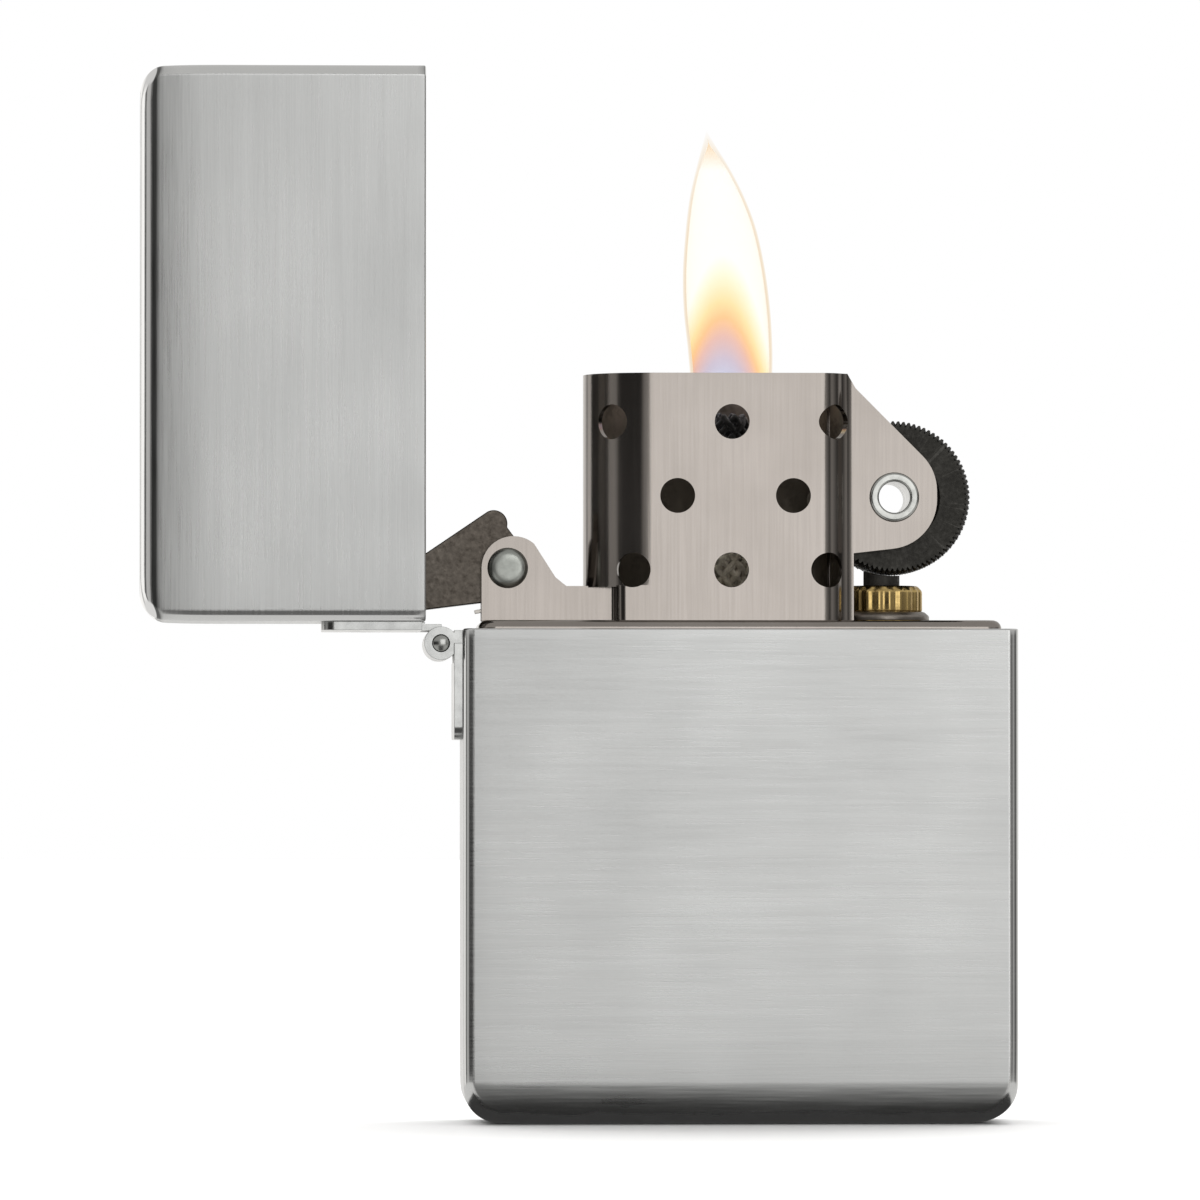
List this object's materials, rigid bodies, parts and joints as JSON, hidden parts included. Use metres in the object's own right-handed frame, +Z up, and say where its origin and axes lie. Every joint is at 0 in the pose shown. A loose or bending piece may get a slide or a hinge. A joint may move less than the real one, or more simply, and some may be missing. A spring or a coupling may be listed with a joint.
{
  "type": "flip-top windproof petrol lighter",
  "caption": "Flip-top windproof petrol lighter with an outside barrel hinge, standing open, with a pull-out wick insert, flint wheel and lid cam.",
  "frame": {"origin": "centre of the case's flat bottom face, where it stands", "axes": "+Z up; +X from the hinge towards the flint wheel, so the open lid is on the -X side; the front faces -Y"},
  "size_m": [0.0603, 0.0126, 0.0726],
  "materials": {
    "case_brushed_chrome": "satin",
    "hinge_chrome": "polished",
    "insert_steel": "satin",
    "rivet_steel": "polished",
    "wheel_steel": "matte",
    "cam_steel": "satin",
    "spring_steel": "satin",
    "brass": "satin",
    "collar_metal": "satin",
    "flint_alloy": "matte",
    "wick_cotton": "matte",
    "packing_cotton": "matte",
    "felt": "matte"
  },
  "bodies": {
    "case": {"case_bottom": "case_brushed_chrome", "case_hinge_leaf": "hinge_chrome", "hinge_pin": "rivet_steel"},
    "lid": {"lid_shell": "case_brushed_chrome", "lid_hinge_leaf": "hinge_chrome"},
    "insert": {"insert_tank": "insert_steel", "chimney": "insert_steel", "wheel_axle": "rivet_steel", "cam_rivet": "rivet_steel", "cam_spring": "spring_steel", "cam_spring_rivet": "rivet_steel", "flint_tube": "brass", "flint_tube_collar": "collar_metal", "flint_spring": "spring_steel", "wick": "wick_cotton", "cotton_packing": "packing_cotton", "felt_pad": "felt"},
    "cam": {"cam": "cam_steel"},
    "flint_wheel": {"flint_wheel": "wheel_steel"},
    "flint_carrier": {"flint": "flint_alloy", "flint_plunger": "brass"},
    "flint_screw": {"flint_screw": "brass"}
  },
  "joints": [
    {"name": "lid_hinge", "type": "hinge", "parent": "case", "child": "lid", "pos_m": [-0.02055, 0, 0.033], "axis": [0, 1, 0], "range_deg": [0, 90]},
    {"name": "insert_slide", "type": "slide", "parent": "case", "child": "insert", "axis": [0, 0, -1], "range_m": [-0.028, 0]},
    {"name": "cam_pivot", "type": "hinge", "parent": "insert", "child": "cam", "pos_m": [-0.0159, 0, 0.03824], "axis": [0, 1, 0], "range_deg": [0, 96]},
    {"name": "wheel_spin", "type": "hinge", "parent": "insert", "child": "flint_wheel", "pos_m": [0.0107, 0, 0.0431], "axis": [0, 1, 0], "continuous": true},
    {"name": "flint_feed", "type": "slide", "parent": "insert", "child": "flint_carrier", "axis": [0, 0, 1], "range_m": [-0.0015, 0], "stiffness_N_per_m": 60, "springref_m": 0.004, "deforming": ["flint_spring"]},
    {"name": "screw_turn", "type": "hinge", "parent": "insert", "child": "flint_screw", "pos_m": [0.01003, 0, 0.004], "axis": [0, 0, 1], "continuous": true}
  ],
  "couplings": [
    {"joint": "cam_pivot", "follows": "lid_hinge", "ratio": 1.061}
  ]
}
